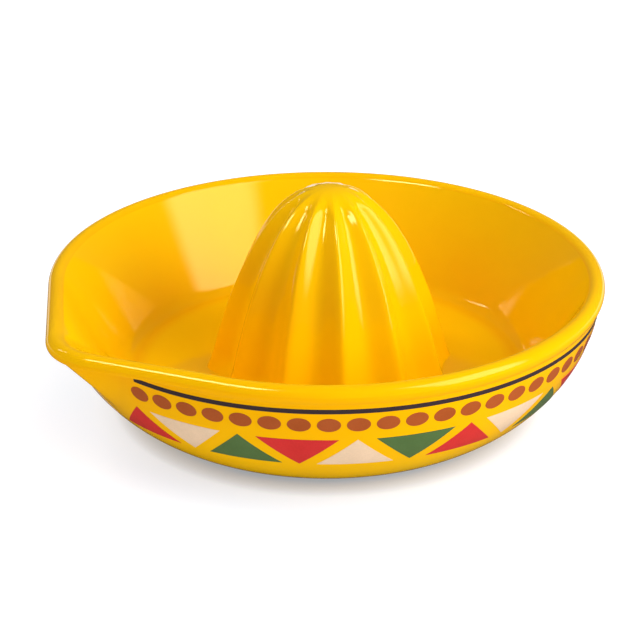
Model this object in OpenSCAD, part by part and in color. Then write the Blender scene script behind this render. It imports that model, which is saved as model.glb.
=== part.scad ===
// Ceramic citrus juicer: a shallow round bowl drawn out into one pouring spout, a hollow fluted
// reamer cone luted to the bowl's floor, a foot ring, and a printed band fired onto the outside.
// The origin is on the bowl's axis, in the plane that it stands on. The spout points along -X.

/* [Bowl] */
// Outside diameter of the rim, away from the spout
rim_d = 150; // [120:1:180]
// Height of the rim above the counter
bowl_h = 38; // [30:0.5:50]
// Outside diameter where the wall would reach the counter
foot_d = 98; // [80:1:120]
// Width of the wall, measured level, where it meets the floor inside
heel_w = 8; // [6:0.5:12]
// Thickness of the rounded roll along the rim
roll_d = 4.8; // [4:0.1:7]
// How far the rim roll stands out from the wall
roll_proud = 0.8; // [0.2:0.1:1.5]
// Height of the floor inside, above the counter
floor_z = 10; // [8:0.5:14]
// How far the soft crease between the wall and the floor reaches along each of them
crease = 3; // [1:0.5:6]

/* [Spout] */
// How far the lip stands out beyond the round rim
spout_reach = 10; // [5:0.5:16]
// Radius of the lip's nose, seen from above
nose_r = 18; // [12:0.5:26]
// Depth below the rim at which the wall starts to flare, in the middle of the spout
flare_drop = 22; // [14:0.5:28]
// Height of the lip, which has the full reach
lip_h = 3.5; // [2:0.5:6]

/* [Reamer cone] */
// Diameter over the ribs, just above the root
cone_d = 66; // [50:1:80]
// Height of the cone above the floor
cone_h = 51; // [36:0.5:66]
// How far the cone stands back from the bowl's axis, away from the spout
cone_back = 1; // [0:0.5:5]
// Number of ribs
rib_count = 12; // [8:1:16]
// Depth of the flutes between the ribs, at the cone's root
flute_depth = 4; // [1:0.1:5]
// Height of the plain cap over which the flutes die out
cap_h = 4.5; // [3:0.5:12]
// Wall thickness behind the flutes
cone_wall = 4.5; // [3:0.1:6]
// How far the root flares out onto the floor
root_flare = 0.8; // [0.4:0.1:4]
// Height of that flare
root_h = 6; // [3:0.5:10]

/* [Foot] */
// Height of the unglazed ring that the bowl stands on
foot_h = 1.2; // [0.8:0.1:2]
// Width of the face that rests on the counter
foot_w = 6; // [4:0.5:10]
// Depth of the recess under the bowl, inside the ring, above the ring's top
recess_h = 3; // [1:0.5:4]
// How far the recess's side leans in
recess_lean = 2; // [1:0.5:4]

/* [Printed band] */
// Thickness of the fired print
print_t = 0.2; // [0.1:0.05:0.4]
// Gap between the rim roll and the stripe
stripe_gap = 1.05; // [0.5:0.05:2]
// Width of the stripe
stripe_w = 1.3; // [0.8:0.1:2]
// Angle from the edge of the spout's keel to the stripe's end
stripe_lead = 2; // [2:0.5:6]
// Gap between the stripe and the dots
dot_gap = 1.3; // [0.3:0.05:1.5]
// Width of a dot, along the row
dot_w = 5.9; // [3:0.1:6.5]
// Height of a dot over its width
dot_ratio = 0.73; // [0.6:0.01:1]
// Number of dots
dot_count = 59; // [30:1:60]
// Angle from the stripe's end to the first dot
dot_lead = 0.8; // [0.8:0.1:6]
// Least gap between the dots and the triangles
triangle_gap = 2.2; // [0.5:0.05:2.5]
// Length of a triangle's level side
triangle_w = 20; // [8:0.1:22]
// Height of a triangle, measured up the wall
triangle_h = 10.9; // [6:0.1:12]
// Number of triangles, standing and hanging by turns
triangle_count = 29; // [14:1:31]
// Angle from the stripe's end back to the first triangle's middle
triangle_lead = 1.5; // [0:0.5:4]

/* [Hidden] */

GLAZE = [0.98, 0.73, 0.03];
BARE_CLAY = [0.90, 0.84, 0.74];
STRIPE_BROWN = [0.26, 0.20, 0.20];
DOT_BROWN = [0.64, 0.30, 0.19];
RED = [0.86, 0.22, 0.17];
CREAM = [0.94, 0.81, 0.67];
GREEN = [0.33, 0.48, 0.28];

rim_r = rim_d / 2;
foot_r = foot_d / 2;
cone_r = cone_d / 2;
roll_r = roll_d / 2;
roll_c = rim_r - roll_r;
roll_z = bowl_h - roll_r;
wall_r = rim_r - roll_proud;
wall_top = roll_z - roll_r;
flare_z = bowl_h - flare_drop;
lip_z = bowl_h - lip_h;
// The hollow under the cone, which opens through the bowl's floor
hollow_r = cone_r - flute_depth - cone_wall;
hollow_h = cone_h - cone_wall;
// Shape of the cone's flank and tip, of its flutes across and towards the tip, and the share of
// a flute that the root fills
FLANK_POWER = 1.14;
TIP_POWER = 0.44;
FLUTE_POWER = 1.2;
FLUTE_HOLD = 0.6;
ROOT_FILL = 0.4;
// Shape of the spout: how its keel curves and tapers, the keel's share of the lip's width,
// how late it widens to the lip under the roll, and how the channel inside curves
KEEL_POWER = 1.5;
KEEL_TAPER = 0.5;
KEEL_WIDTH = 0.32;
LIP_WIDENING = 25;
LEAST_WIDTH = 0.01;
CHANNEL_POWER = 2.2;
// Air between the print and the facets of the wall under it
PRINT_GAP = 0.05;
// How far the cutter of the cone's hollow reaches past the cone's base
PAST_BASE = 1;

// Steps of the lofts
SPOUT_ZONE = 36;
SPOUT_STEP = 2;
ROUND_STEP = 4.5;
WALL_STEPS = 9;
INNER_STEPS = 8;
ROLL_FROM = -50;
ROLL_STEPS = 10;
CREASE_STEPS = 3;
RIB_STEPS = 8;
ROOT_STEPS = 3;
DOME_STEPS = 12;
$fn = 96;

// Outside, away from the spout, the wall is an arc from the foot that is upright at the rim
belly_r = (pow(wall_r - foot_r, 2) + pow(bowl_h, 2)) / (2 * (wall_r - foot_r));
function wall_out(z) = wall_r - belly_r + sqrt(pow(belly_r, 2) - pow(bowl_h - z, 2));
// How far the wall's outward direction leans below level
function wall_lean(z) = asin((bowl_h - z) / belly_r);
// Inside, it is straight from the floor until it runs into the roll
floor_r = wall_out(floor_z) - heel_w;
to_roll = [roll_c - floor_r, roll_z - floor_z];
lean_in = atan2(to_roll.x, to_roll.y) - asin(roll_r / norm(to_roll));
function wall_in(z) = floor_r + (z - floor_z) * tan(lean_in);

// The lip's plan: the rim circle and a nose circle, joined by two tangents
nose_c = rim_r + spout_reach - nose_r;
spout_half = acos((rim_r - nose_r) / nose_c);
nose_half = atan2(nose_r * sin(spout_half), nose_c + nose_r * cos(spout_half));
function off_spout(psi) = abs(psi > 180 ? psi - 360 : psi);
function lip_growth(a) =
    a < nose_half ? nose_c * cos(a) + sqrt(nose_r * nose_r - pow(nose_c * sin(a), 2)) - rim_r :
    a < spout_half ? rim_r / cos(spout_half - a) - rim_r : 0;
// Outside, the spout grows from a pointed keel on the wall to the full lip: how far up the keel
// a height is, and the share of the lip's width that the spout has there
function up_keel(z) = min(1, max(0, (z - flare_z) / (lip_z - flare_z)));
function keel_width(z) =
    max(LEAST_WIDTH,
        KEEL_WIDTH * pow(up_keel(z), KEEL_TAPER) + (1 - KEEL_WIDTH) * pow(up_keel(z), LIP_WIDENING));
function keel(a, z) = pow(up_keel(z), KEEL_POWER) * lip_growth(a / keel_width(z));
// Inside, the wall leans out from the floor's crease to the top of the lip in one broad channel
crease_z = floor_z + crease;
function channel(a, z) = lip_growth(a) * pow(max(0, (z - crease_z) / (bowl_h - crease_z)), CHANNEL_POWER);

// Section of the bowl as [radius, height, shift of its centre, whether it is inside],
// counter-clockwise from the lower edge of the hollow under the cone
inner_top = roll_z + roll_r * sin(lean_in);
recess_z = foot_h + recess_h;
recess_r = foot_r - foot_w;
function bezier(a, b, c, t) = (1 - t) * (1 - t) * a + 2 * t * (1 - t) * b + t * t * c;
bowl_section = concat(
    [[hollow_r, recess_z, cone_back, false]],
    [for (p = [[recess_r - recess_lean, recess_z], [recess_r, foot_h]]) [p.x, p.y, 0, false]],
    [for (i = [0 : WALL_STEPS])
        let (z = foot_h + (wall_top - foot_h) * i / WALL_STEPS)
        [wall_out(z), z, 0, false]],
    [for (i = [0 : ROLL_STEPS])
        let (a = ROLL_FROM + (180 - lean_in - ROLL_FROM) * i / ROLL_STEPS)
        [roll_c + roll_r * cos(a), roll_z + roll_r * sin(a), 0, a > 90]],
    [for (i = [1 : INNER_STEPS - 1])
        let (z = inner_top + (crease_z - inner_top) * i / INNER_STEPS)
        [wall_in(z), z, 0, true]],
    [for (i = [0 : CREASE_STEPS])
        let (p = bezier([wall_in(crease_z), crease_z], [floor_r, floor_z],
            [floor_r - crease, floor_z], i / CREASE_STEPS))
        [p.x, p.y, 0, true]],
    [[hollow_r, floor_z, cone_back, true]]
);
columns = concat(
    [for (a = [-SPOUT_ZONE : SPOUT_STEP : SPOUT_ZONE - SPOUT_STEP]) a],
    [for (a = [SPOUT_ZONE : ROUND_STEP : 360 - SPOUT_ZONE - ROUND_STEP]) a]
);

module bowl() {
    rows = len(bowl_section);
    turns = len(columns);
    points = [for (psi = columns) for (p = bowl_section)
        let (a = off_spout(psi))
        let (r = p.x + (p[3] ? channel(a, p.y) : keel(a, p.y)))
        [p.z - r * cos(psi), -r * sin(psi), p.y]];
    faces = [for (j = [0 : turns - 1]) for (k = [0 : rows - 1])
        let (here = j * rows, next = ((j + 1) % turns) * rows, up = (k + 1) % rows)
        each [[here + k, here + up, next + up], [here + k, next + up, next + k]]];
    color(GLAZE) polyhedron(points, faces);
}

// Radius of a dome at a height above its base
function dome_r(base_r, height, z) = base_r * pow(1 - pow(z / height, FLANK_POWER), TIP_POWER);
function root_r(z) = z < root_h ? root_flare * pow(1 - z / root_h, 2) : 0;
// Depth of a flute at a height, and across it from rib (0) to rib (1)
function flute_run(z) = min(1, (cone_h - z) / cap_h) * (1 - ROOT_FILL * root_r(z) / root_flare);
function flute(z, u) =
    flute_depth * pow(dome_r(1, cone_h, z), FLUTE_HOLD) * flute_run(z) * pow(sin(180 * u), FLUTE_POWER);

module fluted_dome() {
    sides = rib_count * RIB_STEPS;
    heights = concat(
        [for (i = [0 : ROOT_STEPS - 1]) root_h * i / ROOT_STEPS],
        [for (i = [0 : DOME_STEPS - 1]) root_h + (cone_h - root_h) * sin(90 * i / DOME_STEPS)]
    );
    rings = len(heights);
    points = concat(
        [for (z = heights) for (j = [0 : sides - 1])
            let (r = dome_r(cone_r, cone_h, z) + root_r(z) - flute(z, (j % RIB_STEPS) / RIB_STEPS))
            [-r * cos(360 * j / sides), -r * sin(360 * j / sides), z]],
        [[0, 0, cone_h], [0, 0, 0]]
    );
    tip = rings * sides;
    top = tip - sides;
    faces = [for (j = [0 : sides - 1])
        let (next = (j + 1) % sides)
        each concat(
            [for (i = [0 : rings - 2])
                let (low = i * sides, high = low + sides)
                each [[low + j, high + j, high + next], [low + j, high + next, low + next]]],
            [[top + j, tip, top + next], [j, next, tip + 1]]
        )];
    polyhedron(points, faces);
}

module cone_hollow() {
    rotate_extrude()
        polygon(concat(
            [[0, -PAST_BASE], [hollow_r, -PAST_BASE]],
            [for (i = [0 : DOME_STEPS])
                let (z = hollow_h * sin(90 * i / DOME_STEPS))
                [i == DOME_STEPS ? 0 : dome_r(hollow_r, hollow_h, z), z]]
        ));
}

module reamer_cone() {
    color(GLAZE)
        translate([cone_back, 0, floor_z])
            difference() {
                fluted_dome();
                cone_hollow();
            }
}

module foot_ring() {
    color(BARE_CLAY)
        rotate_extrude()
            polygon([
                [recess_r, 0],
                [foot_r, 0],
                [wall_out(foot_h), foot_h],
                [recess_r, foot_h]
            ]);
}

// The print lies on the round part of the wall, from one side of the spout to the other
stripe_z = wall_top - stripe_gap - stripe_w / 2;
dot_h = dot_w * dot_ratio;
dot_z = stripe_z - stripe_w / 2 - dot_gap - dot_h / 2;
triangle_z = dot_z - dot_h / 2 - triangle_gap - triangle_h / 2;
band_start = spout_half * keel_width(stripe_z + stripe_w / 2) + stripe_lead;
SKIN_STEPS = 6;

// A skin on the wall between two heights, over an angle counted from the spout
module wall_skin(low, high, from, to) {
    heights = [for (i = [0 : SKIN_STEPS]) low + (high - low) * i / SKIN_STEPS];
    function skin(z, out) = [wall_out(z) + out * cos(wall_lean(z)), z - out * sin(wall_lean(z))];
    rotate([0, 0, 180 + from])
        rotate_extrude(angle = to - from)
            polygon(concat(
                [for (z = heights) skin(z, PRINT_GAP)],
                [for (i = [SKIN_STEPS : -1 : 0]) skin(heights[i], PRINT_GAP + print_t)]
            ));
}

// Places a shape on the wall, its Z outward, its -X up the wall
module on_wall(psi, z) {
    rotate([0, 0, 180 + psi])
        translate([wall_out(z), 0, z])
            rotate([0, 90 + wall_lean(z), 0])
                children();
}

module rim_stripe() {
    color(STRIPE_BROWN)
        wall_skin(stripe_z - stripe_w / 2, stripe_z + stripe_w / 2, band_start, 360 - band_start);
}

// A round cutter that slants along the row cuts oval dots
module dot_row() {
    first = band_start + dot_lead;
    step = (360 - 2 * first) / (dot_count - 1);
    color(DOT_BROWN)
        intersection() {
            wall_skin(dot_z - dot_h, dot_z + dot_h, 0, 360);
            for (i = [0 : dot_count - 1])
                on_wall(first + i * step, dot_z)
                    rotate([acos(dot_ratio), 0, 0])
                        cylinder(d = dot_h, h = 2 * dot_w, center = true);
        }
}

// Every third triangle, from the one numbered first
module triangles(first) {
    start = band_start - triangle_lead;
    step = (360 - 2 * start) / (triangle_count - 1);
    intersection() {
        wall_skin(triangle_z - triangle_h / 2, triangle_z + triangle_h / 2, 0, 360);
        for (k = [first : 3 : triangle_count - 1])
            on_wall(start + k * step, triangle_z)
                rotate([0, 0, k % 2 == 0 ? 0 : 180])
                    linear_extrude(height = triangle_h, center = true)
                        polygon([
                            [-triangle_h / 2, 0],
                            [triangle_h / 2, -triangle_w / 2],
                            [triangle_h / 2, triangle_w / 2]
                        ]);
    }
}

module red_triangles() {
    color(RED) triangles(0);
}

module cream_triangles() {
    color(CREAM) triangles(1);
}

module green_triangles() {
    color(GREEN) triangles(2);
}

bowl();
reamer_cone();
foot_ring();
rim_stripe();
dot_row();
red_triangles();
cream_triangles();
green_triangles();
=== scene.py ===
"""Looks of a ceramic citrus juicer: glazed bowl, fluted reamer cone, bare foot and fired print."""

import math

import bpy
import numpy as np
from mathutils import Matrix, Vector


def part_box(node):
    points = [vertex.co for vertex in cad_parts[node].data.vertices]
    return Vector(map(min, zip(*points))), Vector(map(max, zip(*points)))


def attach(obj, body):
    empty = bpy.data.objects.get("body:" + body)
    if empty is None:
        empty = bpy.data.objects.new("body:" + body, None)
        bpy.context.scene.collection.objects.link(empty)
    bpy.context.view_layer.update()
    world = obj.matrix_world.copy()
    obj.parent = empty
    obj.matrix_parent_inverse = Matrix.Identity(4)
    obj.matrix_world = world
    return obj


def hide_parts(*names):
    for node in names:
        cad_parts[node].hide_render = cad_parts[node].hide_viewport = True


bl_info = {
    "name": "Ceramic Citrus Juicer",
    "version": (1, 0, 0),
    "blender": (4, 5, 0),
    "location": "3D View > Sidebar > Juicer",
    "description": "Makes a glazed citrus juicer, its printed band and a studio stage round a fixed frame",
    "category": "Object",
}

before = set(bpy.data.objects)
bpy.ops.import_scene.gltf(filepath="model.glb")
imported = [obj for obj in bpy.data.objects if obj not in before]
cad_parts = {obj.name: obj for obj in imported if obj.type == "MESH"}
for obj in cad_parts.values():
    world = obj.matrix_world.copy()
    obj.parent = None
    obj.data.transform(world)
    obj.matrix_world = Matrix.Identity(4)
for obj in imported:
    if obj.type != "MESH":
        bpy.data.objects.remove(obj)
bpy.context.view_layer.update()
BODY = "root"
GLAZE_NAME = "Fired yellow glaze"
MM = 0.001
FULL_TURN = 2 * math.pi

BOWL_LOW, BOWL_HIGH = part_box("bowl")
CONE_LOW, CONE_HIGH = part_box("reamer_cone")
FOOT_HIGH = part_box("foot_ring")[1]
ROOT_FLARE = 0.8 * MM
LEAST_KEEL_WIDTH = 0.01

# The glaze's depth runs from 0 where it is thin to 1 where it pools; it also holds painted shade, deeper
# orange glaze laid where the shading falls
POOL_AND_SHADE_NAME = "glaze_depth"
WALL_DEPTH = 0.5

# Where the values of noise mostly lie
NOISE_LOW = 0.3
NOISE_MIDDLE = 0.5
NOISE_HIGH = 0.7

# Places of the colour sockets on a Mix node
MIX_FROM = 6
MIX_TO = 7
MIX_RESULT = 2

BUMP_DEPTH = 0.1 * MM
TOUCHING = 1e-7


# Kinds of properties

def turn(name, description, degrees):
    """An angle."""
    return bpy.props.FloatProperty(
        name=name, description=description, default=math.radians(degrees), subtype="ANGLE", unit="ROTATION")


def number(name, description, default, **kind):
    """A number that isn't negative."""
    return bpy.props.FloatProperty(name=name, description=description, default=default, min=0.0, **kind)


def size(name, description, default):
    """A length in metres."""
    return number(name, description, default, precision=5, subtype="DISTANCE", unit="LENGTH")


def count(name, description, default):
    """A whole number of things."""
    return bpy.props.IntProperty(name=name, description=description, default=default, min=1)


def colour(name, description, default):
    """A colour, in linear light."""
    return bpy.props.FloatVectorProperty(
        name=name, description=description, default=(*default, 1.0), size=4, min=0.0, max=1.0,
        subtype="COLOR")


class BowlSizes(bpy.types.PropertyGroup):
    """Sizes of the bowl and its spout"""

    rim_radius: size("Rim radius", "Outside radius of the rim, away from the spout", BOWL_HIGH.y)
    height: size("Height", "Height of the rim above the counter", BOWL_HIGH.z)
    foot_radius: size("Foot radius", "Radius where the wall would reach the counter", 49 * MM)
    heel: size("Heel", "Width of the wall where it meets the floor inside", 8 * MM)
    roll: size("Roll", "Thickness of the rounded roll along the rim", 4.8 * MM)
    roll_proud: size("Roll proud", "How far the roll stands out from the wall", 0.8 * MM)
    roll_blend: size("Roll blend", "Width over which the roll runs into the wall", 0.8 * MM)
    floor_height: size("Floor height", "Height of the floor inside", CONE_LOW.z)
    crease: size("Crease", "Reach of the soft crease between wall and floor", 3 * MM)
    spout_reach: size("Spout reach", "How far the lip stands out beyond the rim", -BOWL_LOW.x - BOWL_HIGH.y)
    nose_radius: size("Nose radius", "Radius of the lip's nose, seen from above", 18 * MM)
    flare_drop: size("Flare drop", "Depth below the rim at which the keel starts", 22 * MM)
    lip: size("Lip", "Height of the lip, which has the full reach", 3.5 * MM)
    keel_power: number("Keel power", "How the keel curves", 1.5)
    keel_taper: number("Keel taper", "How the keel comes to a point", 0.5)
    keel_width: number("Keel width", "The keel's share of the lip's width", 0.32)
    lip_widening: number("Lip widening", "How late the keel widens to the lip", 25.0)
    channel_power: number("Channel power", "How the channel inside the spout curves", 2.2)
    foot_height: size("Foot height", "Height of the unglazed ring", FOOT_HIGH.z)
    foot_width: size("Foot width", "Width of the face that rests on the counter", 6 * MM)
    recess: size("Recess", "Depth of the recess inside the ring", 3 * MM)
    recess_lean: size("Recess lean", "How far the recess's side leans in", 2 * MM)
    soft_edge: size("Soft edge", "Radius of the edges under the bowl", 0.5 * MM)


class ConeSizes(bpy.types.PropertyGroup):
    """Sizes of the reamer cone"""

    radius: size("Radius", "Radius over the ribs, above the root",
                 (CONE_HIGH.y - CONE_LOW.y) / 2 - ROOT_FLARE)
    height: size("Height", "Height above the floor", CONE_HIGH.z - CONE_LOW.z)
    back: size("Back", "How far the cone stands back from the bowl's axis", (CONE_LOW.x + CONE_HIGH.x) / 2)
    ribs: count("Ribs", "Number of ribs", 12)
    flute: size("Flute", "Depth of the flutes at the root", 4 * MM)
    cap: size("Cap", "Height over which the flutes die out at the top", 4.5 * MM)
    wall: size("Wall", "Wall thickness behind the flutes", 4.5 * MM)
    root_flare: size("Root flare", "How far the root runs out onto the floor", ROOT_FLARE)
    root_height: size("Root height", "Height of that flare", 6 * MM)
    root_fill: number("Root fill", "Share of a flute that the root fills", 0.4)
    flank_power: number("Flank power", "How the flank bulges", 1.14)
    tip_power: number("Tip power", "How the tip rounds over", 0.44)
    flute_power: number("Flute power", "How wide the flutes are between the ribs", 1.2)
    flute_hold: number("Flute hold", "How fast the flutes grow shallow towards the tip", 0.6)
    ridge: number("Ridge", "How softly the ribs' ridges are rounded", 0.18)
    sink: size("Sink", "How far the root is set into the floor's glaze", 0.1 * MM)


class PrintSizes(bpy.types.PropertyGroup):
    """Sizes of the fired print"""

    proud: size("Proud", "How far the print stands out from the glaze", 0.06 * MM)
    sunk: size("Sunk", "How far the print reaches into the glaze", 0.05 * MM)
    stripe_gap: size("Stripe gap", "Gap between the rim roll and the stripe", 1.05 * MM)
    stripe_width: size("Stripe width", "Width of the stripe", 1.3 * MM)
    stripe_lead: turn("Stripe lead", "Angle from the edge of the spout's keel to the stripe's end", 2.0)
    dot_gap: size("Dot gap", "Gap between the stripe and the dots", 1.3 * MM)
    dot_width: size("Dot width", "Width of a dot along the row", 5.9 * MM)
    dot_height: size("Dot height", "Height of a dot, up the wall", 4.3 * MM)
    dots: count("Dots", "Number of dots", 59)
    dot_lead: turn("Dot lead", "Angle from the stripe's end to the first dot", 0.8)
    triangle_gap: size("Triangle gap", "Least gap between the dots and the triangles", 2.2 * MM)
    triangle_width: size("Triangle width", "Length of a triangle's level side", 20 * MM)
    triangle_height: size("Triangle height", "Height of a triangle, up the wall", 10.9 * MM)
    triangles: count("Triangles", "Number of triangles, standing and hanging by turns", 29)
    triangle_lead: turn("Triangle lead", "Angle from the stripe's end back to the first triangle", 1.5)


class Finish(bpy.types.PropertyGroup):
    """Colours of the glaze, clay and print"""

    glaze_thin: colour("Thin glaze", "Glaze where it runs thin", (0.97, 0.635, 0.004))
    glaze: colour("Glaze", "Glaze on the walls", (0.965, 0.56, 0.001))
    # Deep glaze also stands for painted shade in the flutes and creases, on the roll and up the outside wall
    glaze_deep_and_shaded: colour("Deep glaze", "Glaze where it pools, in flutes and creases", (0.94, 0.445, 0.0))
    gloss: colour("Gloss", "Tint of what the glaze reflects face on", (1.0, 0.70, 0.32))
    clay: colour("Clay", "Bare fired clay of the foot", (0.72, 0.60, 0.45))
    clay_dark: colour("Dark clay", "Grains in the bare clay", (0.46, 0.34, 0.23))
    stripe: colour("Stripe", "Brown-black of the stripe", (0.040, 0.026, 0.028))
    dot: colour("Dot", "Terracotta of the dots", (0.39, 0.082, 0.016))
    red: colour("Red", "Red of the triangles", (0.64, 0.030, 0.028))
    cream: colour("Cream", "Cream of the triangles", (0.83, 0.60, 0.40))
    green: colour("Green", "Green of the triangles", (0.085, 0.155, 0.048))
    backdrop: colour("Backdrop", "Floor and backdrop", (0.42, 0.42, 0.42))
    floor_glow: colour("Floor glow", "Tint of the light that the floor adds", (0.79, 0.875, 1.0))


class StageSizes(bpy.types.PropertyGroup):
    """Camera and lights"""

    azimuth: turn("Azimuth", "Camera's angle round the object", -37.0)
    elevation: turn("Elevation", "Camera's angle above the counter", 24.54)
    distance: size("Distance", "Camera's distance from its target", 600 * MM)
    lens: number("Lens", "Focal length in millimetres on a 36 mm sensor", 123.4)
    target_left: size("Target left", "How far the camera's target lies left of the bowl's axis", 1.77 * MM)
    target_height: size("Target height", "Height of the camera's target", 22.3 * MM)
    key_power: number("Key power", "Power of the softbox at the right, in watts", 12.4)
    fill_power: number("Fill power", "Power of the soft light high at the left, in watts", 4.6)
    left_power: number("Left power", "Power of the left card, which only reflections see, in watts", 9.5)
    edge_power: number("Edge power", "Power of the narrow light far round at the left, in watts", 0.8)
    world: number("World", "Strength of the surroundings as a light", 0.42)
    world_mirrored: number("World mirrored", "Strength of the surroundings in reflections", 0.08)
    floor_lift: number("Floor lift", "Light that the floor adds to what it sends back", 0.84)
    floor_mirrored: number("Floor mirrored", "Strength in reflections of the floor behind the object", 1.0)
    shade: size("Shade", "Reach of the soft shade round the object on the floor", 45 * MM)
    contact: size("Contact", "Reach of the dark edge where the object stands on the floor", 5 * MM)


class Juicer(bpy.types.PropertyGroup):
    """All sizes and colours of the juicer"""

    bowl: bpy.props.PointerProperty(type=BowlSizes)
    cone: bpy.props.PointerProperty(type=ConeSizes)
    prints: bpy.props.PointerProperty(type=PrintSizes)
    finish: bpy.props.PointerProperty(type=Finish)
    stage: bpy.props.PointerProperty(type=StageSizes)


# Node trees

def worked_by(operation, swapped=False):
    """A method that joins a term and other values in a Math node, with the term last if swapped."""

    def work(term, *others):
        values = (*others, term) if swapped else (term, *others)
        return made(term.tree, "ShaderNodeMath", dict(enumerate(values)), operation=operation)

    return work


class Term:
    """A socket that can be written in formulas: each operation adds a Math node to its tree."""

    def __init__(self, tree, socket):
        self.tree = tree
        self.socket = socket

    __add__ = worked_by("ADD")
    __radd__ = worked_by("ADD", swapped=True)
    __sub__ = worked_by("SUBTRACT")
    __rsub__ = worked_by("SUBTRACT", swapped=True)
    __mul__ = worked_by("MULTIPLY")
    __rmul__ = worked_by("MULTIPLY", swapped=True)
    __truediv__ = worked_by("DIVIDE")
    __rtruediv__ = worked_by("DIVIDE", swapped=True)
    __pow__ = worked_by("POWER")
    at_least = worked_by("MAXIMUM")
    at_most = worked_by("MINIMUM")
    below = worked_by("LESS_THAN")
    remainder = worked_by("MODULO")
    fraction = worked_by("FRACT")
    sin = worked_by("SINE")
    cos = worked_by("COSINE")
    arcsin = worked_by("ARCSINE")

    def __neg__(self):
        return self * -1.0

    def rising(self, start, length):
        """0 up to a start, then rising to 1 over a length."""
        return ((self - start) / length).at_least(0.0).at_most(1.0)


def blend(low, high, share):
    """A value that lies a share of the way from one value to another."""
    return low + (high - low) * share


def feed(tree, node, values):
    """Links terms to a node's inputs, named by their place or their name, or sets the inputs' own values."""
    for name, value in values.items():
        if isinstance(value, Term):
            tree.links.new(value.socket, node.inputs[name])
        else:
            node.inputs[name].default_value = value


def add_node(tree, kind, values=None, **settings):
    """Adds a node with its settings and inputs."""
    node = tree.nodes.new(kind)
    for name, value in settings.items():
        setattr(node, name, value)
    feed(tree, node, values or {})
    return node


def made(tree, kind, values=None, output=0, **settings):
    """One output of a new node, as a term."""
    return Term(tree, add_node(tree, kind, values, **settings).outputs[output])


def vector(tree, x=0.0, y=0.0, z=0.0):
    """A vector made of three values."""
    return made(tree, "ShaderNodeCombineXYZ", {0: x, 1: y, 2: z})


def parts_of(tree, place):
    """The three values of a vector."""
    split = add_node(tree, "ShaderNodeSeparateXYZ", {0: place})
    return [Term(tree, socket) for socket in split.outputs]


def floats(*names):
    """Sockets for plain numbers."""
    return dict.fromkeys(names, "Float")


def new_group(kind, name, inputs, outputs):
    """A node group with named sockets, its Group Input's sockets by name, and its Group Output."""
    tree = bpy.data.node_groups.new(name, kind)
    for side, sockets in (("INPUT", inputs), ("OUTPUT", outputs)):
        for title, sort in sockets.items():
            tree.interface.new_socket(name=title, in_out=side, socket_type="NodeSocket" + sort)
    entry = tree.nodes.new("NodeGroupInput")
    given = {title: Term(tree, entry.outputs[title]) for title in inputs}
    return tree, given, tree.nodes.new("NodeGroupOutput")


def new_shape(name, inputs):
    """A node group, as new_group gives it, that puts out a geometry."""
    return new_group("GeometryNodeTree", name, inputs, {"Geometry": "Geometry"})


def use_group(tree, name, build, values):
    """Outputs by name of a node group in a tree; the group is built when it is first asked for."""
    kind = "GeometryNodeGroup" if tree.bl_idname == "GeometryNodeTree" else "ShaderNodeGroup"
    group = bpy.data.node_groups.get(name) or build(name)
    node = add_node(tree, kind, values, node_tree=group)
    return {socket.name: Term(tree, socket) for socket in node.outputs}


def add_object(name, data):
    """A new object in the scene."""
    thing = bpy.data.objects.new(name, data)
    bpy.context.scene.collection.objects.link(thing)
    return thing


def grow(name, tree, values):
    """Runs a geometry tree with the given inputs and returns the result as a plain mesh object."""
    piece = add_object(name, bpy.data.meshes.new(name))
    modifier = piece.modifiers.new(tree.name, "NODES")
    modifier.node_group = tree
    for item in tree.interface.items_tree:
        if item.in_out == "INPUT" and item.name in values:
            modifier[item.identifier] = values[item.name]
    grown = piece.evaluated_get(bpy.context.evaluated_depsgraph_get())
    mesh = bpy.data.meshes.new_from_object(grown)
    piece.modifiers.clear()
    piece.data = mesh
    if not mesh.polygons:
        raise RuntimeError(name + " came out empty")
    # Set Material leaves an empty slot before its own
    if mesh.materials[0] is None:
        mesh.materials.pop(index=0)
    return piece


def settle(piece, node, crisp=35.0):
    """Smooths a finished piece's shading, keeps its crisp edges and ties it to the frame."""
    piece.data.name = piece.name
    piece.data.shade_smooth()
    piece.data.set_sharp_from_angle(angle=math.radians(crisp))
    piece.data.update()
    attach(piece, BODY)
    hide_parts(node)


# The bowl's curves

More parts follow.
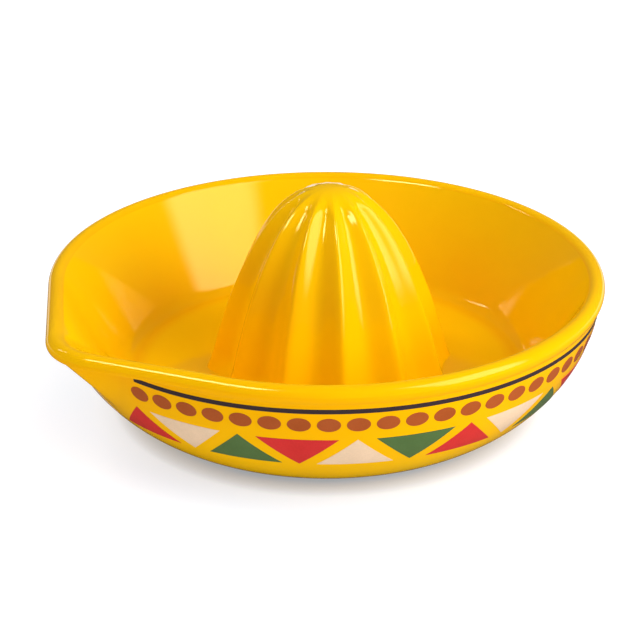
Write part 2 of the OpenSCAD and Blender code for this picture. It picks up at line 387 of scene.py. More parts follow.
class BowlShape:
    """The bowl's curves, worked out from its sizes; heights are above the counter."""

    def __init__(self, juicer):
        bowl, cone = juicer.bowl, juicer.cone
        self.bowl = bowl
        self.hollow_r = cone.radius - cone.flute - cone.wall
        self.cone_back = cone.back
        self.roll_r = bowl.roll / 2
        self.roll_z = bowl.height - self.roll_r
        self.roll_axis = bowl.rim_radius - self.roll_r
        self.wall_top = self.roll_z - self.roll_r
        self.wall_r = bowl.rim_radius - bowl.roll_proud
        belly_out = self.wall_r - bowl.foot_radius
        self.belly_r = (belly_out ** 2 + bowl.height ** 2) / (2 * belly_out)
        self.floor_r = self.wall_out(bowl.floor_height) - bowl.heel
        out, up = self.roll_axis - self.floor_r, self.roll_z - bowl.floor_height
        self.lean_in = math.atan2(out, up) - math.asin(self.roll_r / math.hypot(out, up))
        self.crease_z = bowl.floor_height + bowl.crease
        self.flare_z = bowl.height - bowl.flare_drop
        self.lip_z = bowl.height - bowl.lip
        self.nose_c = bowl.rim_radius + bowl.spout_reach - bowl.nose_radius
        self.spout_half = math.acos((bowl.rim_radius - bowl.nose_radius) / self.nose_c)
        self.nose_half = math.atan2(
            bowl.nose_radius * math.sin(self.spout_half),
            self.nose_c + bowl.nose_radius * math.cos(self.spout_half))

    def wall_out(self, z):
        """Outside radius of the wall, an arc that is upright at the rim, away from the spout and the roll."""
        return self.wall_r - self.belly_r + np.sqrt(self.belly_r ** 2 - (self.bowl.height - z) ** 2)

    def wall_in(self, z):
        """Inside radius of the straight wall, which runs into the roll, away from the spout."""
        return self.floor_r + (z - self.bowl.floor_height) * math.tan(self.lean_in)

    def rolled_out(self, z):
        """Outside radius with the roll blended into the wall."""
        wall = self.wall_out(z)
        across = self.roll_r ** 2 - (z - self.roll_z) ** 2
        roll = np.where(across > 0, self.roll_axis + np.sqrt(np.maximum(across, 0.0)), 0.0)
        near = np.maximum(self.bowl.roll_blend - np.abs(wall - roll), 0.0)
        return np.maximum(wall, roll) + near ** 2 / (4 * self.bowl.roll_blend)

    def lip_growth(self, off):
        """How far the lip stands out beyond the round rim, at an angle off the spout's middle."""
        rim = self.bowl.rim_radius
        off = np.minimum(off, self.spout_half)
        chord = self.bowl.nose_radius ** 2 - (self.nose_c * np.sin(off)) ** 2
        nose = self.nose_c * np.cos(off) + np.sqrt(np.maximum(chord, 0.0)) - rim
        return np.where(off < self.nose_half, nose, rim / np.cos(self.spout_half - off) - rim)

    def keel_width(self, z):
        """The spout's share of the lip's width at a height, outside."""
        bowl = self.bowl
        up = self.up_keel(z)
        narrow = bowl.keel_width * up ** bowl.keel_taper
        return np.maximum(narrow + (1 - bowl.keel_width) * up ** bowl.lip_widening, LEAST_KEEL_WIDTH)

    def up_keel(self, z):
        """How far up the keel a height is, from 0 at its point to 1 at the lip."""
        return np.clip((z - self.flare_z) / (self.lip_z - self.flare_z), 0.0, 1.0)

    def keel(self, off, z):
        """How far the outside stands out at the spout."""
        return self.up_keel(z) ** self.bowl.keel_power * self.lip_growth(off / self.keel_width(z))

    def channel(self, off, z):
        """How far the inside leans out at the spout."""
        up = np.maximum((z - self.crease_z) / (self.bowl.height - self.crease_z), 0.0)
        return self.lip_growth(off) * up ** self.bowl.channel_power

    def section(self):
        """Rows of radius, height, shift of the centre, inside or not, and glaze depth with painted shade,
        round the section.
        """
        bowl = self.bowl
        recess_r = bowl.foot_radius - bowl.foot_width
        recess_z = bowl.foot_height + bowl.recess
        under = rounded([
            (self.hollow_r, recess_z),
            (recess_r - bowl.recess_lean, recess_z),
            (recess_r, bowl.foot_height),
            (self.wall_out(bowl.foot_height), bowl.foot_height),
        ], bowl.soft_edge)[:-1]
        under_shift = np.where(under[:, 0] < self.hollow_r + bowl.crease, 1, 0)
        rise = 1 - eased(num=70, power=1.5)[::-1]
        out_z = blend(bowl.foot_height, self.roll_z, rise)
        over = np.linspace(0, math.pi - self.lean_in, num=26)[1:-1]
        fall = eased(num=56, power=1.2)
        in_z = blend(self.roll_z + self.roll_r * math.sin(self.lean_in), self.crease_z, fall)
        bend = curve_through(
            (self.wall_in(self.crease_z), self.crease_z), (self.floor_r, bowl.floor_height),
            (self.floor_r - bowl.crease, bowl.floor_height), steps=10)[1:]
        flat = np.linspace(0, 1, num=9)[1:]
        flat_r = blend(self.floor_r - bowl.crease, self.hollow_r, flat)
        # Painted shade in the glaze depth: it rises up the outside wall to the roll, stays high on the roll
        # and deepens into the crease inside
        return np.concatenate([
            rows(under[:, 0], under[:, 1], shift=under_shift, pool_and_shade=WALL_DEPTH),
            rows(self.rolled_out(out_z), out_z, pool_and_shade=blend(low=0.6, high=1.0, share=rise)),
            rows(self.roll_axis + self.roll_r * np.cos(over), self.roll_z + self.roll_r * np.sin(over),
                 inside=over > math.pi / 2, pool_and_shade=blend(low=0.8, high=0.7, share=np.sin(over))),
            rows(self.wall_in(in_z), in_z, inside=1, pool_and_shade=blend(low=0.5, high=0.7, share=fall)),
            rows(bend[:, 0], bend[:, 1], inside=1, pool_and_shade=np.linspace(start=0.75, stop=0.95, num=len(bend))),
            rows(flat_r, bowl.floor_height, shift=flat, inside=1, pool_and_shade=0.62),
        ])

    def column_angles(self):
        """Angles from the spout's middle, closer together at the spout."""
        zone = math.radians(40)
        spout = np.linspace(-zone, zone, num=160, endpoint=False)
        other = np.linspace(zone, FULL_TURN - zone, num=224, endpoint=False)
        return np.concatenate([spout, other])


def curve_through(start, bend, end, steps):
    """Points of the curve from start to end that bends towards a third point."""
    t = np.linspace(0, 1, steps)[:, None]
    return (1 - t) ** 2 * np.array(start) + 2 * t * (1 - t) * np.array(bend) + t ** 2 * np.array(end)


def eased(num, power):
    """Shares from 0 to 1 that lie closer together near 0."""
    return np.linspace(0, 1, num) ** power


def rounded(corners, radius, closed=False):
    """An outline with its corners rounded, apart from the two ends of an open one."""
    corners = np.array(corners, float)
    last = len(corners) - 1
    points = []
    for i, here in enumerate(corners):
        if i in (0, last) and not closed:
            points.append(here[None])
            continue
        start, end = (
            here + radius * (other - here) / np.linalg.norm(other - here)
            for other in (corners[i - 1], corners[(i + 1) % len(corners)]))
        points.append(curve_through(start, here, end, steps=5))
    return np.concatenate(points)


def rows(radius, height, pool_and_shade, shift=0.0, inside=0.0):
    """Section points side by side with what holds for them all."""
    columns = np.broadcast_arrays(radius, height, shift, inside, pool_and_shade)
    return np.stack([np.asarray(column, float) for column in columns], axis=1)


def swept(radius, angle, height, back=0.0):
    """Points at angles off the spout, round an axis that lies back from the bowl's."""
    return np.stack(np.broadcast_arrays(
        back - radius * np.cos(angle), -radius * np.sin(angle), height), axis=2)


def loft(name, points, pool_and_shade=None):
    """A closed mesh through rings of points that run round a closed section."""
    turns, steps = points.shape[:2]
    here = np.arange(turns)[:, None] * steps
    ahead = np.roll(np.arange(turns), -1)[:, None] * steps
    low = np.arange(steps)[None]
    high = np.roll(np.arange(steps), -1)[None]
    faces = np.stack([here + low, ahead + low, ahead + high, here + high], axis=2).reshape(-1, 4)
    mesh = bpy.data.meshes.new(name)
    mesh.from_pydata(points.reshape(-1, 3).tolist(), [], faces.tolist())
    if pool_and_shade is not None:
        glaze = mesh.attributes.new(POOL_AND_SHADE_NAME, "FLOAT", "POINT")
        glaze.data.foreach_set("value", np.broadcast_to(pool_and_shade, (turns, steps)).astype(np.float32).ravel())
    return add_object(name, mesh)


# Materials

def on_object(tree):
    """Coordinates on the object."""
    return made(tree, "ShaderNodeTexCoord", output="Object")


def noise(tree, scale, detail):
    """Noise on the object's coordinates."""
    values = {"Vector": on_object(tree), "Scale": scale, "Detail": detail}
    return made(tree, "ShaderNodeTexNoise", values)


def glaze_skin(name):
    """Shader group: the slow ripple, fine peel and mottle of a fired glaze."""
    tree, given, out = new_group(
        "ShaderNodeTree", name, floats("Ripple Scale", "Peel Scale", "Peel", "Mottle Scale"),
        floats("Height", "Mottle"))
    ripple = noise(tree, given["Ripple Scale"], detail=1.0)
    peel = noise(tree, given["Peel Scale"], detail=0.0) * given["Peel"]
    mottle = noise(tree, given["Mottle Scale"], detail=3.0)
    feed(tree, out, {"Height": ripple + peel, "Mottle": mottle})
    return tree


def fired_ink(name):
    """Shader group: a printed colour, fired a little unevenly."""
    tree, given, out = new_group(
        "ShaderNodeTree", name, {"Colour": "Color", **floats("Mottle", "Unevenness")}, {"Colour": "Color"})
    grain_share = 0.7
    grain = (noise(tree, scale=1800.0, detail=2.0) - NOISE_MIDDLE) * grain_share
    value = 1.0 + ((given["Mottle"] - NOISE_MIDDLE) + grain) * given["Unevenness"]
    shade = made(tree, "ShaderNodeHueSaturation", {"Color": given["Colour"], "Value": value})
    feed(tree, out, {"Colour": shade})
    return tree


def new_material(name):
    """An empty node material, its Principled shader and its tree."""
    material = bpy.data.materials.new(name)
    material.use_nodes = True
    tree = material.node_tree
    return material, tree.nodes["Principled BSDF"], tree


def between(tree, value, low, high):
    """Stretches a mask from where noise mostly lies to a range."""
    return made(tree, "ShaderNodeMapRange", {
        "Value": value, "From Min": NOISE_LOW, "From Max": NOISE_HIGH, "To Min": low, "To Max": high})


def finish_shader(tree, shader, shade, roughness, height, strength=0.5):
    """Feeds a material's shader its colour, its roughness and a fine bump."""
    bump = made(tree, "ShaderNodeBump", {"Height": height, "Strength": strength, "Distance": BUMP_DEPTH})
    feed(tree, shader, {"Base Color": shade, "Roughness": roughness, "Normal": bump})


def yellow_glaze(finish):
    """Glossy yellow glaze of bowl and cone, paler where it is thin and deeper where it pools and where shade
    is painted on.
    """
    if GLAZE_NAME in bpy.data.materials:
        return bpy.data.materials[GLAZE_NAME]
    material, shader, tree = new_material(GLAZE_NAME)
    skin = use_group(tree, "Glaze skin", glaze_skin, {
        "Ripple Scale": 70.0, "Peel Scale": 600.0, "Peel": 0.06, "Mottle Scale": 40.0})
    pool_and_shade = made(tree, "ShaderNodeAttribute", output="Fac", attribute_name=POOL_AND_SHADE_NAME)
    mottling = 0.35
    mottled = pool_and_shade + (skin["Mottle"] - NOISE_MIDDLE) * mottling
    ramp = add_node(tree, "ShaderNodeValToRGB", {"Fac": mottled})
    stops = ramp.color_ramp.elements
    stops[0].position = 0.1
    stops[0].color = finish.glaze_thin
    stops[1].position = 0.95
    stops[1].color = finish.glaze_deep_and_shaded
    stops.new(WALL_DEPTH).color = finish.glaze
    roughness = between(tree, skin["Mottle"], low=0.05, high=0.09)
    finish_shader(tree, shader, Term(tree, ramp.outputs[0]), roughness, skin["Height"])
    feed(tree, shader, {"IOR": 1.52, "Specular Tint": finish.gloss})
    return material


def printed(name, ink):
    """A fired print under the same gloss as the glaze."""
    material, shader, tree = new_material("Fired " + name.replace("_", " "))
    skin = use_group(tree, "Glaze skin", glaze_skin, {
        "Ripple Scale": 70.0, "Peel Scale": 900.0, "Peel": 0.1, "Mottle Scale": 160.0})
    tint = use_group(tree, "Fired ink", fired_ink, {
        "Colour": ink, "Mottle": skin["Mottle"], "Unevenness": 0.22})
    roughness = between(tree, skin["Mottle"], low=0.10, high=0.17)
    finish_shader(tree, shader, tint["Colour"], roughness, skin["Height"])
    feed(tree, shader, {"IOR": 1.5})
    return material


def bare_clay(finish):
    """Unglazed fired clay: matt, grainy, with darker specks."""
    material, shader, tree = new_material("Bare clay")
    grain = noise(tree, scale=1400.0, detail=4.0)
    speck = made(
        tree, "ShaderNodeTexVoronoi", {"Vector": on_object(tree), "Scale": 700.0}, output="Distance")
    specks = between(tree, 1.0 - speck * grain, low=0.0, high=0.5)
    shade = made(tree, "ShaderNodeMix", {
        "Factor": specks, MIX_FROM: finish.clay, MIX_TO: finish.clay_dark},
        output=MIX_RESULT, data_type="RGBA")
    roughness = between(tree, grain, low=0.75, high=0.92)
    finish_shader(tree, shader, shade, roughness, grain, strength=0.6)
    return material


# Geometry trees

CONE_INPUTS = (
    "Radius", "Height", "Flute", "Cap", "Wall", "Root Flare", "Root Height", "Root Fill", "Flank Power",
    "Tip Power", "Flute Power", "Flute Hold", "Ridge", "Back")
WALL_INPUTS = floats("Wall Radius", "Belly Radius", "Rim Height", "Row Height")
ROW_INPUTS = {**floats("Width", "Height", "First", "Step"), "Count": "Int"}
SLAB_INPUTS = {**floats("Proud", "Sunk"), "Material": "Material"}


def moved_round(tree, geometry, radius, angle, height, back=0.0):
    """Moves points to angles off the spout, round an axis that lies back from the bowl's."""
    place = vector(tree, back - radius * angle.cos(), -(radius * angle.sin()), height)
    return made(tree, "GeometryNodeSetPosition", {"Geometry": geometry, "Position": place})


def fluted_cone_tree():
    """Geometry tree: a hollow dome with flutes, bent from a sheet that runs up the hollow and the outside."""
    whole_numbers = dict.fromkeys(("Ribs", "Steps per Rib", "Steps Up"), "Int")
    tree, given, out = new_shape("Fluted cone", {
        **floats(*CONE_INPUTS, "Base"), **whole_numbers, "Material": "Material"})
    sheet = made(tree, "GeometryNodeMeshGrid", {
        "Size X": 1.0, "Size Y": 1.0, "Vertices X": given["Ribs"] * given["Steps per Rib"] + 1.0,
        "Vertices Y": given["Steps Up"]})
    sheet_half = 0.5
    round_share, along = (
        part + sheet_half for part in parts_of(tree, made(tree, "GeometryNodeInputPosition"))[:2])
    hollow_share = 0.2
    step = 1.0 / (given["Steps Up"] - 1.0)

    def dome(radius, height, z):
        """Radius of a dome at a height."""
        flank = (z / height).at_least(0.0) ** given["Flank Power"]
        return radius * (1.0 - flank).at_least(0.0) ** given["Tip Power"]

    def climb(share, height, foot_power=1.4, tip_power=2.0):
        """Heights that lie closer together at the foot and at the tip."""
        low = share.at_least(0.0).at_most(1.0) ** foot_power
        return height * (1.0 - (1.0 - low) ** tip_power)

    inner_radius = given["Radius"] - given["Flute"] - given["Wall"]
    inner_height = given["Height"] - given["Wall"]
    inner_z = climb(1.0 - along / hollow_share, inner_height)
    inner_r = dome(inner_radius, inner_height, inner_z)

    outer_z = climb((along - hollow_share - step) / (1.0 - step - hollow_share), given["Height"])
    outer_dome = dome(given["Radius"], given["Height"], outer_z)
    root = (1.0 - outer_z / given["Root Height"]).at_least(0.0) ** 2.0
    turns = round_share * given["Ribs"]
    across = turns.fraction()
    crowding = 0.7
    crowd = (across * FULL_TURN).sin() * (crowding / FULL_TURN)
    bend = ((across - crowd) * math.pi).sin() ** 2.0
    soft = given["Ridge"] * given["Ridge"]
    half_power = given["Flute Power"] * 0.5
    edge = soft ** half_power
    groove = ((bend + soft) ** half_power - edge) / ((1.0 + soft) ** half_power - edge)
    fading = ((given["Height"] - outer_z) / given["Cap"]).at_most(1.0)
    held = (outer_dome / given["Radius"]) ** given["Flute Hold"]
    flute = given["Flute"] * held * fading * (1.0 - given["Root Fill"] * root) * groove
    outer_r = outer_dome + given["Root Flare"] * root - flute

    inside = along.below(step / 2.0 + hollow_share)
    outside = 1.0 - inside
    radius = inside * inner_r + outside * outer_r
    height = inside * inner_z + outside * outer_z + given["Base"]
    angle = (turns - crowd) * FULL_TURN / given["Ribs"]
    shaped = moved_round(tree, sheet, radius, angle, height, given["Back"])
    # The glaze depth on the cone is partly pooling and partly painted shade: deeper, more orange towards the
    # top, in the flutes (more so higher up) and at the root
    rise = outer_z / given["Height"]
    flute_pool_and_shade = groove * fading * blend(low=0.12, high=0.62, share=rise)
    root_pool_and_shade = blend(low=0.0, high=0.15, share=root)
    pooled_and_shaded = blend(low=0.5, high=0.65, share=rise) + flute_pool_and_shade + root_pool_and_shade
    stored = made(
        tree, "GeometryNodeStoreNamedAttribute", {"Geometry": shaped, "Name": POOL_AND_SHADE_NAME, "Value": pooled_and_shaded},
        data_type="FLOAT", domain="POINT")
    merged = made(tree, "GeometryNodeMergeByDistance", {"Geometry": stored, "Distance": TOUCHING})
    finish_tree(tree, given, merged, out)
    return tree


def finish_tree(tree, given, geometry, out):
    """Ends a geometry tree: instances made real, and the material set."""
    real = made(tree, "GeometryNodeRealizeInstances", {0: geometry})
    dressed = made(tree, "GeometryNodeSetMaterial", {"Geometry": real, "Material": given["Material"]})
    feed(tree, out, {"Geometry": dressed})


def print_slab(name):
    """Geometry group: a flat shape made into a closed slab, sunk into the glaze and standing proud of it."""
    tree, given, out = new_shape(name, {"Geometry": "Geometry", **floats("Proud", "Sunk")})
    low = made(tree, "GeometryNodeSetPosition", {
        "Geometry": given["Geometry"], "Offset": vector(tree, z=-given["Sunk"])})
    raised = made(tree, "GeometryNodeExtrudeMesh", {
        "Mesh": low, "Offset": vector(tree, z=given["Sunk"] + given["Proud"]), "Offset Scale": 1.0,
        "Individual": False})
    under = made(tree, "GeometryNodeFlipFaces", {0: low})
    both = add_node(tree, "GeometryNodeJoinGeometry")
    for part in (raised, under):
        feed(tree, both, {0: part})
    closed = made(tree, "GeometryNodeMergeByDistance", {
        "Geometry": Term(tree, both.outputs[0]), "Distance": TOUCHING})
    feed(tree, out, {"Geometry": closed})
    return tree


def wrap_on_wall(name):
    """Geometry group: wraps a flat row (X along it, Y up the wall, Z outward) round the bowl's wall."""
    tree, given, out = new_shape(name, {"Geometry": "Geometry", **WALL_INPUTS})
    along, up, proud = parts_of(tree, made(tree, "GeometryNodeInputPosition"))
    belly = given["Belly Radius"]
    axis = given["Wall Radius"] - belly
    row_lean = ((given["Rim Height"] - given["Row Height"]) / belly).arcsin()
    lean = row_lean - up / belly
    radius = axis + (belly + proud) * lean.cos()
    height = given["Rim Height"] - (belly + proud) * lean.sin()
    angle = along / (axis + belly * row_lean.cos())
    feed(tree, out, {"Geometry": moved_round(tree, given["Geometry"], radius, angle, height)})
    return tree


def wrap_and_finish(tree, given, geometry, out):
    """Wraps a tree's flat row on the wall and ends the tree."""
    real = made(tree, "GeometryNodeRealizeInstances", {0: geometry})
    walls = {name: given[name] for name in WALL_INPUTS}
    wrapped = use_group(tree, "Wrap on wall", wrap_on_wall, {"Geometry": real, **walls})
    finish_tree(tree, given, wrapped["Geometry"], out)


def slab_of(tree, given, flat):
    """The closed slab of a flat shape in a tree."""
    return use_group(tree, "Print slab", print_slab, {
        "Geometry": flat, "Proud": given["Proud"], "Sunk": given["Sunk"]})["Geometry"]


def finish_row(tree, given, flat, out, splits, rotation=(0.0, 0.0, 0.0)):
    """Repeats a flat shape along a row, as slabs cut finely enough to bend, and ends the tree."""
    fine = made(tree, "GeometryNodeSubdivideMesh", {"Mesh": flat, "Level": splits})
    points = made(tree, "GeometryNodeMeshLine", {
        "Count": given["Count"], "Start Location": vector(tree, given["First"]),
        "Offset": vector(tree, given["Step"])})
    row = made(tree, "GeometryNodeInstanceOnPoints", {
        "Points": points, "Instance": slab_of(tree, given, fine), "Rotation": rotation})
    wrap_and_finish(tree, given, row, out)


def stripe_tree():
    """Geometry tree: one stripe along the wall."""
    tree, given, out = new_shape("Stripe", {
        **floats("Start", "End", "Width"), **WALL_INPUTS, **SLAB_INPUTS})
    strip = made(tree, "GeometryNodeMeshGrid", {
        "Size X": given["End"] - given["Start"], "Size Y": given["Width"],
        "Vertices X": 481, "Vertices Y": 5})
    middle = vector(tree, (given["Start"] + given["End"]) * 0.5)
    moved = made(tree, "GeometryNodeTransform", {"Geometry": strip, "Translation": middle})
    wrap_and_finish(tree, given, slab_of(tree, given, moved), out)
    return tree


def dot_row_tree():
    """Geometry tree: a row of oval dots along the wall."""
    tree, given, out = new_shape("Dot row", {**ROW_INPUTS, **WALL_INPUTS, **SLAB_INPUTS})
    disc = made(tree, "GeometryNodeMeshCircle", {"Vertices": 40, "Radius": 0.5}, fill_type="TRIANGLE_FAN")
    oval = made(tree, "GeometryNodeTransform", {
        "Geometry": disc, "Scale": vector(tree, given["Width"], given["Height"], 1.0)})
    finish_row(tree, given, oval, out, splits=2)
    return tree


def triangle_row_tree():
    """Geometry tree: every third triangle of the row, standing and hanging by turns."""
    tree, given, out = new_shape("Triangle row", {
        "Number": "Int", **ROW_INPUTS, **WALL_INPUTS, **SLAB_INPUTS})
    # A circle of radius 1 with three corners is 1.5 high and the root of 3 wide, and its centre lies a
    # sixth of its height below its middle
    corner = made(tree, "GeometryNodeMeshCircle", {"Vertices": 3, "Radius": 1.0}, fill_type="TRIANGLE_FAN")
    scale = vector(tree, given["Height"] / 1.5, given["Width"] / math.sqrt(3.0), 1.0)
    upright = made(tree, "GeometryNodeTransform", {
        "Geometry": corner, "Translation": vector(tree, y=given["Height"] / -6.0),
        "Rotation": (0.0, 0.0, math.pi / 2), "Scale": scale})
    index = made(tree, "GeometryNodeInputIndex")
    turned = (index * 3.0 + given["Number"]).remainder(2.0) * math.pi
    finish_row(tree, given, upright, out, splits=4, rotation=vector(tree, z=turned))
    return tree


class PrintLayout:
    """Heights and angles of the printed rows."""

    def __init__(self, juicer):
        prints = juicer.prints
        self.prints = prints
        self.shape = BowlShape(juicer)
        self.stripe_z = self.shape.wall_top - prints.stripe_gap - prints.stripe_width / 2
        self.dot_z = self.stripe_z - prints.stripe_width / 2 - prints.dot_gap - prints.dot_height / 2
        dots_low = self.dot_z - prints.dot_height / 2
        self.triangle_z = dots_low - prints.triangle_gap - prints.triangle_height / 2
        keel = float(self.shape.keel_width(self.stripe_z + prints.stripe_width / 2))
        self.start = self.shape.spout_half * keel + prints.stripe_lead

    def radius(self, z):
        """The wall's radius at a row, which turns angles into lengths along it."""
        return float(self.shape.wall_out(z))

    def add(self, name, node, tree, z, ink, values):
        """Makes a printed piece at a height and ties it to the frame."""
        piece = grow(name, tree, {
            **values, "Material": printed(name, ink), "Wall Radius": self.shape.wall_r,
            "Belly Radius": self.shape.belly_r, "Rim Height": self.shape.bowl.height, "Row Height": z,
            "Proud": self.prints.proud, "Sunk": self.prints.sunk})
        settle(piece, node)

    def row(self, z, first, total):
        """The first place and the step of an even row from one side of the spout to the other."""
        step = (FULL_TURN - 2 * first) / (total - 1)
        return first * self.radius(z), step * self.radius(z)


# Operators

class JUICER_OT_bowl(bpy.types.Operator):
    """Make the glazed bowl with its rim roll and drawn-out spout"""

    bl_idname = "juicer.bowl"
    bl_label = "Make Bowl"

    def execute(self, context):
        juicer = context.scene.juicer
        shape = BowlShape(juicer)
        radius, height, shift, inside, pool_and_shade = shape.section().T
        angle = shape.column_angles()[:, None]
        off = np.abs(np.where(angle > math.pi, angle - FULL_TURN, angle))
        flared = radius + np.where(inside > 0, shape.channel(off, height), shape.keel(off, height))
        piece = loft("bowl_glazed", swept(flared, angle, height, shift * shape.cone_back), pool_and_shade)
        piece.data.materials.append(yellow_glaze(juicer.finish))
        settle(piece, "bowl")
        return {"FINISHED"}


class JUICER_OT_cone(bpy.types.Operator):
    """Make the hollow fluted reamer cone"""

    bl_idname = "juicer.cone"
    bl_label = "Make Reamer Cone"

    def execute(self, context):
        juicer = context.scene.juicer
        cone = juicer.cone
        sizes = {name: getattr(cone, name.lower().replace(" ", "_")) for name in CONE_INPUTS}
        sizes["Height"] += cone.sink
        piece = grow("reamer_cone_glazed", fluted_cone_tree(), {
            **sizes, "Ribs": cone.ribs, "Base": juicer.bowl.floor_height - cone.sink,
            "Steps per Rib": 32, "Steps Up": 150, "Material": yellow_glaze(juicer.finish)})
        settle(piece, "reamer_cone")
        return {"FINISHED"}


class JUICER_OT_foot(bpy.types.Operator):
    """Make the unglazed ring that the bowl stands on"""

    bl_idname = "juicer.foot"
    bl_label = "Make Foot Ring"

    def execute(self, context):
        juicer = context.scene.juicer
        bowl = juicer.bowl
        shape = BowlShape(juicer)
        inner = bowl.foot_radius - bowl.foot_width
        outer_top = float(shape.wall_out(bowl.foot_height))
        section = rounded([
            (inner, 0.0), (bowl.foot_radius, 0.0), (outer_top, bowl.foot_height), (inner, bowl.foot_height),
        ], bowl.soft_edge / 2, closed=True)
        angle = np.linspace(0, FULL_TURN, num=240, endpoint=False)[:, None]
        piece = loft("foot_ring_bare", swept(section[:, 0], angle, section[:, 1]))
        piece.data.materials.append(bare_clay(juicer.finish))
        settle(piece, "foot_ring", crisp=60.0)
        return {"FINISHED"}


class JUICER_OT_stripe(bpy.types.Operator):
    """Make the dark stripe under the rim roll"""

    bl_idname = "juicer.stripe"
    bl_label = "Make Stripe"

    def execute(self, context):
        juicer = context.scene.juicer
        layout = PrintLayout(juicer)
        reach = layout.radius(layout.stripe_z)
        layout.add("stripe_print", "rim_stripe", stripe_tree(), layout.stripe_z, juicer.finish.stripe, {
            "Start": layout.start * reach, "End": (FULL_TURN - layout.start) * reach,
            "Width": juicer.prints.stripe_width})
        return {"FINISHED"}


class JUICER_OT_dots(bpy.types.Operator):
    """Make the row of terracotta dots"""

    bl_idname = "juicer.dots"
    bl_label = "Make Dots"

    def execute(self, context):
        juicer = context.scene.juicer
        prints = juicer.prints
        layout = PrintLayout(juicer)
        first, step = layout.row(layout.dot_z, layout.start + prints.dot_lead, prints.dots)
        layout.add("dot_print", "dot_row", dot_row_tree(), layout.dot_z, juicer.finish.dot, {
            "Width": prints.dot_width, "Height": prints.dot_height,
            "First": first, "Step": step, "Count": prints.dots})
        return {"FINISHED"}


class JUICER_OT_triangles(bpy.types.Operator):
    """Make the red, cream and green triangles"""

    bl_idname = "juicer.triangles"
    bl_label = "Make Triangles"

    def execute(self, context):
        juicer = context.scene.juicer
        prints = juicer.prints
        layout = PrintLayout(juicer)
        first, step = layout.row(layout.triangle_z, layout.start - prints.triangle_lead, prints.triangles)
        tree = triangle_row_tree()
        names = ("red", "cream", "green")
        for place, name in enumerate(names):
            ink = getattr(juicer.finish, name)
            layout.add(name + "_print", name + "_triangles", tree, layout.triangle_z, ink, {
                "Width": prints.triangle_width, "Height": prints.triangle_height, "Number": place,
                "First": first + place * step, "Step": len(names) * step,
                "Count": len(range(place, prints.triangles, len(names)))})
        return {"FINISHED"}


def away(azimuth, elevation):
    """The direction from the object to something at an angle round it and above the counter."""
    flat = math.cos(elevation)
    return Vector((math.sin(azimuth) * flat, -math.cos(azimuth) * flat, math.sin(elevation)))


def face(thing, target, direction, distance):
    """Puts a light or a camera at a distance from a target, facing it."""
    thing.location = target + direction * distance
    thing.rotation_euler = direction.to_track_quat("Z", "Y").to_euler()


def soften_edges(lamp):
    """Lets a light fade smoothly towards its edges, over a share of its width."""
    lamp.use_nodes = True
    tree = lamp.node_tree
    edge = 0.2
    strength = 1.0
    for across in parts_of(tree, made(tree, "ShaderNodeNewGeometry", output="Parametric"))[:2]:
        near = (across.at_most(1.0 - across) / edge).at_most(1.0)
        strength = near * near * (3.0 - 2.0 * near) * strength
    feed(tree, tree.nodes["Emission"], {"Strength": strength})


def softbox(stage, name, side, up, distance, wide, tall, mirrored=True, lit=True):
    """A soft light that faces the object, at degrees round from the camera and above the counter."""
    lamp = bpy.data.lights.new(name, "AREA")
    lamp.shape = "RECTANGLE"
    lamp.size = wide
    lamp.size_y = tall
    lamp.energy = getattr(stage, name + "_power")
    soften_edges(lamp)
    light = add_object(name, lamp)
    direction = away(stage.azimuth + math.radians(side), math.radians(up))
    face(light, Vector((0.0, 0.0, stage.target_height)), direction, distance)
    light.visible_camera = False
    light.visible_glossy = mirrored
    light.visible_diffuse = lit


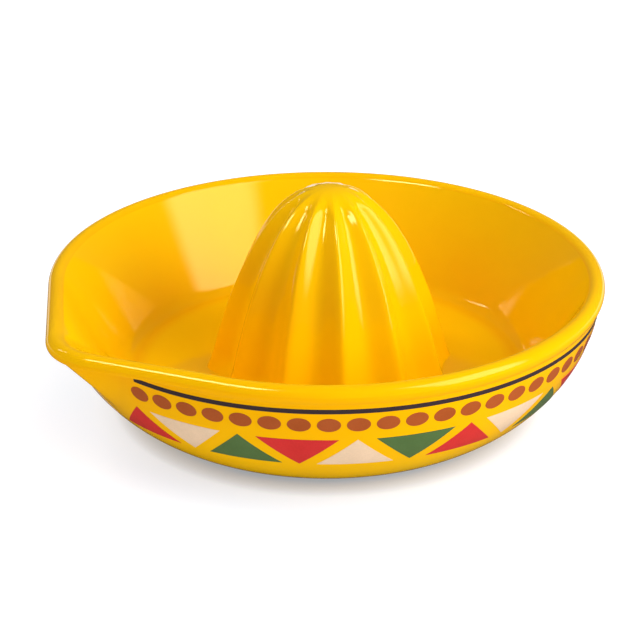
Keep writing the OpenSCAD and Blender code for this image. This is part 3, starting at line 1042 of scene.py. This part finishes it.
class JUICER_OT_stage(bpy.types.Operator):
    """Make the white floor, the softboxes, the surroundings and the camera"""

    bl_idname = "juicer.stage"
    bl_label = "Make Stage"

    def execute(self, context):
        juicer = context.scene.juicer
        stage = juicer.stage
        self.make_floor(juicer.finish, stage)
        self.make_surroundings(context, stage)
        softbox(stage, "key", side=62, up=33, distance=0.9, wide=0.75, tall=0.9)
        softbox(stage, "fill", side=-102, up=57, distance=1.1, wide=0.5, tall=0.5, mirrored=False)
        softbox(stage, "left", side=-46, up=51, distance=1.0, wide=0.52, tall=0.3, lit=False)
        softbox(stage, "edge", side=-112, up=37, distance=1.0, wide=0.08, tall=0.3)
        self.make_camera(context, stage)
        context.scene.view_settings.view_transform = "Standard"
        return {"FINISHED"}

    def make_floor(self, finish, stage):
        """A wide white floor that keeps the shadow; reflections see it white only behind the object."""
        side = 20.0
        corners = [(-side, -side, 0), (side, -side, 0), (side, side, 0), (-side, side, 0)]
        mesh = bpy.data.meshes.new("floor")
        mesh.from_pydata(corners, [], [(0, 1, 2, 3)])
        floor = add_object("floor", mesh)
        material, shader, tree = new_material("floor")
        mirrored = made(tree, "ShaderNodeLightPath", output="Is Glossy Ray")
        across, along = parts_of(tree, on_object(tree))[:2]
        reach = (across * across + along * along) ** 0.5

        def painted_shade_share(distance, weight):
            """How much of the floor's glow is left near things within a distance, as painted shade, by as
            much as a weight lets it count.
            """
            openness = made(tree, "ShaderNodeAmbientOcclusion", {"Distance": distance}, output="AO")
            return (1.0 - weight) + openness * weight

        # Painted shadow and shade: the floor's glow is darkened near the object as a dark contact edge and a
        # soft shade round it, and tinted blue near the object against the bowl's yellow bounce; in
        # reflections the floor's colour is dimmed
        tinted = (1.0 - mirrored) * (1.0 - reach.rising(start=0.066, length=0.03))
        level = blend(stage.floor_lift, 1.0, reach.rising(start=0.25, length=0.5))
        glow_with_painted_shade = painted_shade_share(stage.contact, weight=0.6) * painted_shade_share(stage.shade, weight=0.22) * level
        ahead = away(stage.azimuth, 0.0)
        behind = across * -ahead.x - along * ahead.y
        glint = behind.rising(start=0.06, length=0.2) * stage.floor_mirrored
        value = blend(low=1.0, high=0.2, share=mirrored)
        seen = made(tree, "ShaderNodeHueSaturation", {"Color": finish.backdrop, "Value": value})
        glow = made(tree, "ShaderNodeHueSaturation", {"Color": finish.floor_glow, "Saturation": tinted})
        feed(tree, shader, {
            "Base Color": seen, "Roughness": 1.0, "Specular IOR Level": 0.0, "Emission Color": glow,
            "Emission Strength": blend(glow_with_painted_shade, glint, mirrored)})
        mesh.materials.append(material)

    def make_surroundings(self, context, stage):
        """White surroundings: pure white where they are seen, softer as a light."""
        world = bpy.data.worlds.new("studio")
        world.use_nodes = True
        tree = world.node_tree
        mirrored = made(tree, "ShaderNodeLightPath", output="Is Glossy Ray")
        seen = made(tree, "ShaderNodeLightPath", output="Is Camera Ray")
        lit = blend(stage.world, stage.world_mirrored, mirrored)
        feed(tree, tree.nodes["Background"], {
            "Color": (1.0, 1.0, 1.0, 1.0), "Strength": blend(lit, 1.0, seen)})
        context.scene.world = world

    def make_camera(self, context, stage):
        """The camera at the photograph's angle."""
        data = bpy.data.cameras.new("camera")
        data.sensor_width = 36.0
        data.lens = stage.lens
        data.clip_start = 0.01
        data.clip_end = 100.0
        camera = add_object("camera", data)
        right = Vector((math.cos(stage.azimuth), math.sin(stage.azimuth), 0.0))
        target = Vector((0.0, 0.0, stage.target_height)) - right * stage.target_left
        face(camera, target, away(stage.azimuth, stage.elevation), stage.distance)
        context.scene.camera = camera


class JUICER_PT_panel(bpy.types.Panel):
    """Sizes, colours and pieces of the juicer"""

    bl_idname = "JUICER_PT_panel"
    bl_label = "Citrus Juicer"
    bl_space_type = "VIEW_3D"
    bl_region_type = "UI"
    bl_category = "Juicer"

    def draw(self, context):
        for operator in OPERATORS:
            self.layout.operator(operator.bl_idname)
        juicer = context.scene.juicer
        for group in (juicer.bowl, juicer.cone, juicer.prints, juicer.finish, juicer.stage):
            box = self.layout.box()
            for name in group.bl_rna.properties.keys():
                if name not in ("rna_type", "name"):
                    box.prop(group, name)


OPERATORS = (
    JUICER_OT_bowl, JUICER_OT_cone, JUICER_OT_foot, JUICER_OT_stripe, JUICER_OT_dots, JUICER_OT_triangles,
    JUICER_OT_stage)
CLASSES = (BowlSizes, ConeSizes, PrintSizes, Finish, StageSizes, Juicer, *OPERATORS, JUICER_PT_panel)


def register():
    for each in CLASSES:
        bpy.utils.register_class(each)
    bpy.types.Scene.juicer = bpy.props.PointerProperty(type=Juicer)


def unregister():
    del bpy.types.Scene.juicer
    for each in reversed(CLASSES):
        bpy.utils.unregister_class(each)


def main():
    register()
    bpy.ops.juicer.bowl()
    bpy.ops.juicer.cone()
    bpy.ops.juicer.foot()
    bpy.ops.juicer.stripe()
    bpy.ops.juicer.dots()
    bpy.ops.juicer.triangles()
    bpy.ops.juicer.stage()


if __name__ == "__main__":
    main()
